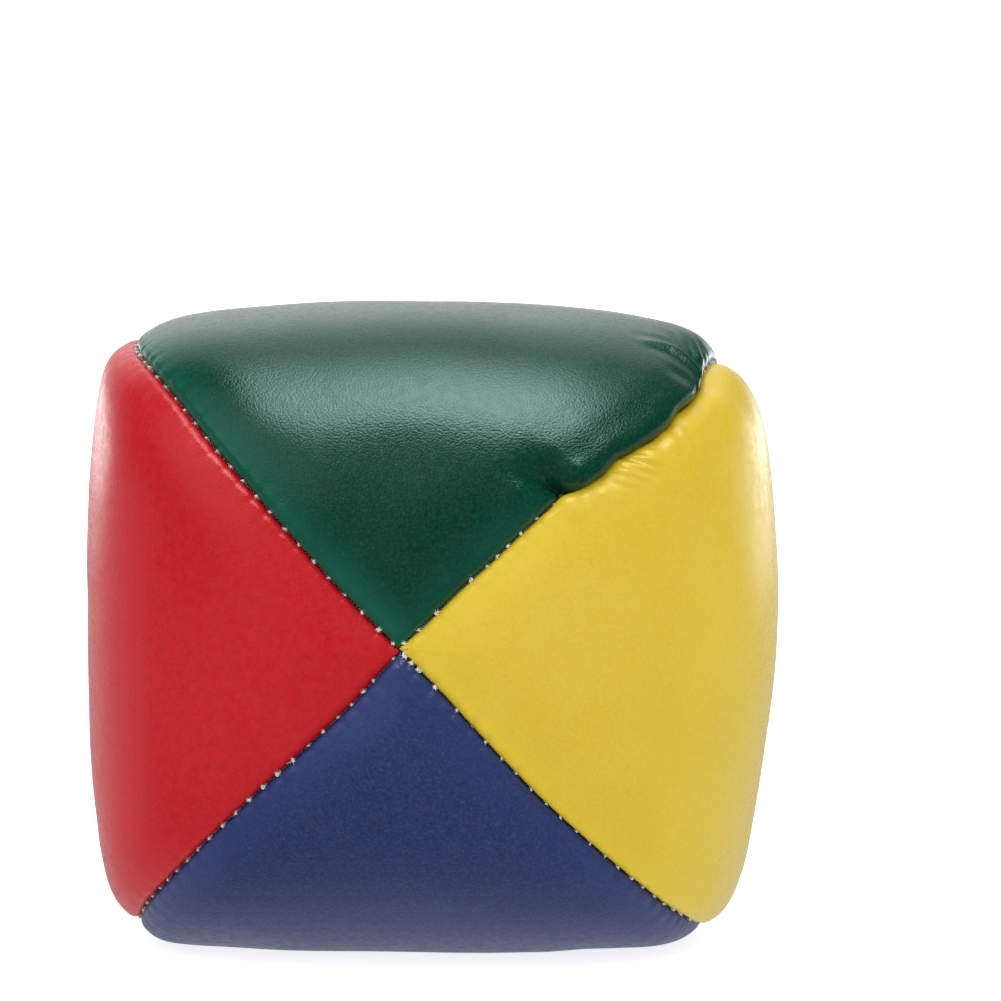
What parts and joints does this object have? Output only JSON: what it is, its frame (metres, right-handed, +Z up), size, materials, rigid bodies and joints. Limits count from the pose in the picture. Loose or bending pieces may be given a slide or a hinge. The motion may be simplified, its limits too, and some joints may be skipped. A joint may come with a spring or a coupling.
{
  "type": "juggling ball",
  "caption": "Soft cubic juggling ball: leatherette panels in red, green, yellow and blue, sewn edge to edge, turned and filled with loose granules.",
  "frame": {"origin": "bottom centre of the bounding box, on the surface the ball rests on", "axes": "+X towards the yellow panel, +Z up through the green panel, and -Y out of the face where the four panels meet in a point"},
  "size_m": [0.0647, 0.0572, 0.0601],
  "materials": {
    "leatherette_red": "semi-gloss",
    "leatherette_green": "semi-gloss",
    "leatherette_yellow": "semi-gloss",
    "leatherette_blue": "semi-gloss",
    "thread_white": "matt",
    "thread_closing": "matt",
    "granules": "matt"
  },
  "bodies": {
    "root": {"red_panel": "leatherette_red", "green_panel": "leatherette_green", "yellow_panel": "leatherette_yellow", "blue_panel": "leatherette_blue", "red_green_thread": "thread_white", "red_blue_thread": "thread_white", "blue_yellow_thread": "thread_white", "green_yellow_thread_front": "thread_white", "green_yellow_thread_back": "thread_white", "green_yellow_closing_thread": "thread_closing", "granule_fill": "granules"}
  },
  "joints": []
}
